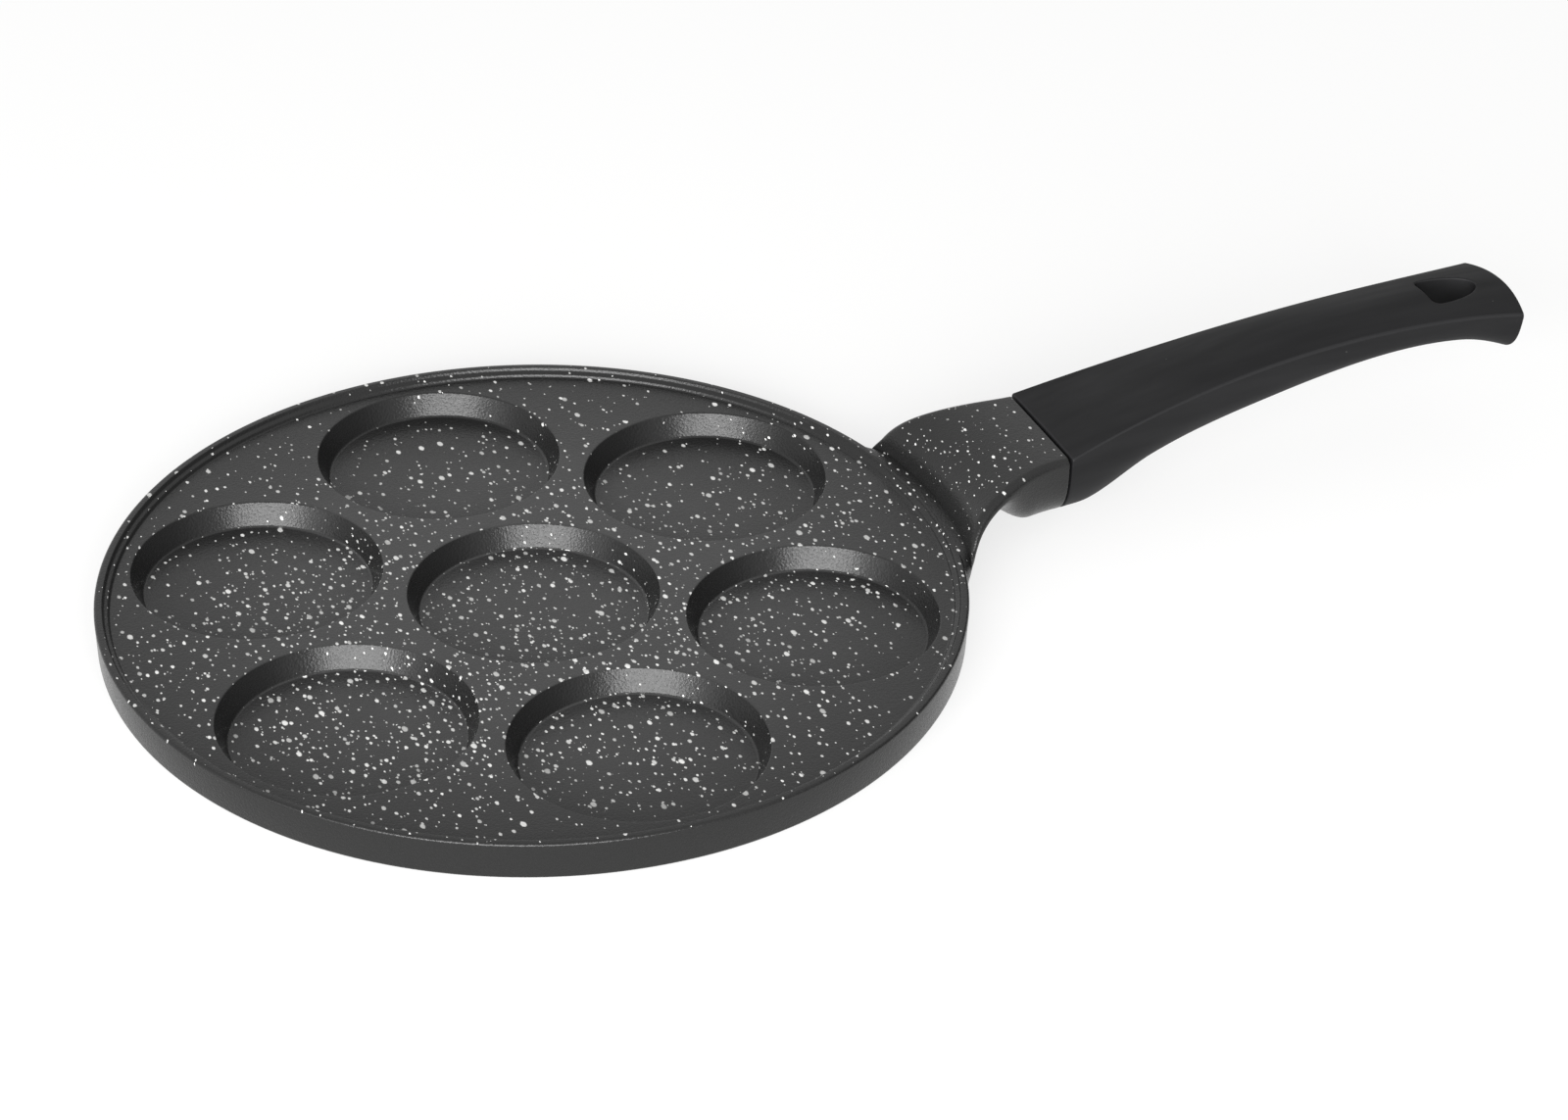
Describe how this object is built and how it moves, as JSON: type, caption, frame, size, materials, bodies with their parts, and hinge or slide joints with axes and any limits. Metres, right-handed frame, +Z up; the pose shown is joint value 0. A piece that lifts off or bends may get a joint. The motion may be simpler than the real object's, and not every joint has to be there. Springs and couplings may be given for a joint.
{
  "type": "pancake pan",
  "caption": "Low round cast pan with a ring of shallow pancake wells around a middle one, a raised lip, and a long moulded grip on a cast neck, with a hang hole at its end.",
  "frame": {"origin": "centre of the pan's round base, on the plane it stands on", "axes": "+X along the handle towards its end, +Z up out of the wells, +Y across"},
  "size_m": [0.4613, 0.26, 0.0503],
  "materials": {
    "speckled_coating": "cast aluminium under a dark grey non-stick coating with pale specks, satin",
    "disc_steel": "turned and brushed",
    "grip_moulding": "matt, soft to the touch",
    "plated_steel": "zinc plated",
    "spring_steel": "plain"
  },
  "bodies": {
    "root": {"pan_casting": "speckled_coating", "induction_disc": "disc_steel", "handle_grip": "grip_moulding", "handle_screw": "plated_steel", "flat_washer": "plated_steel", "spring_washer": "spring_steel"}
  },
  "joints": []
}
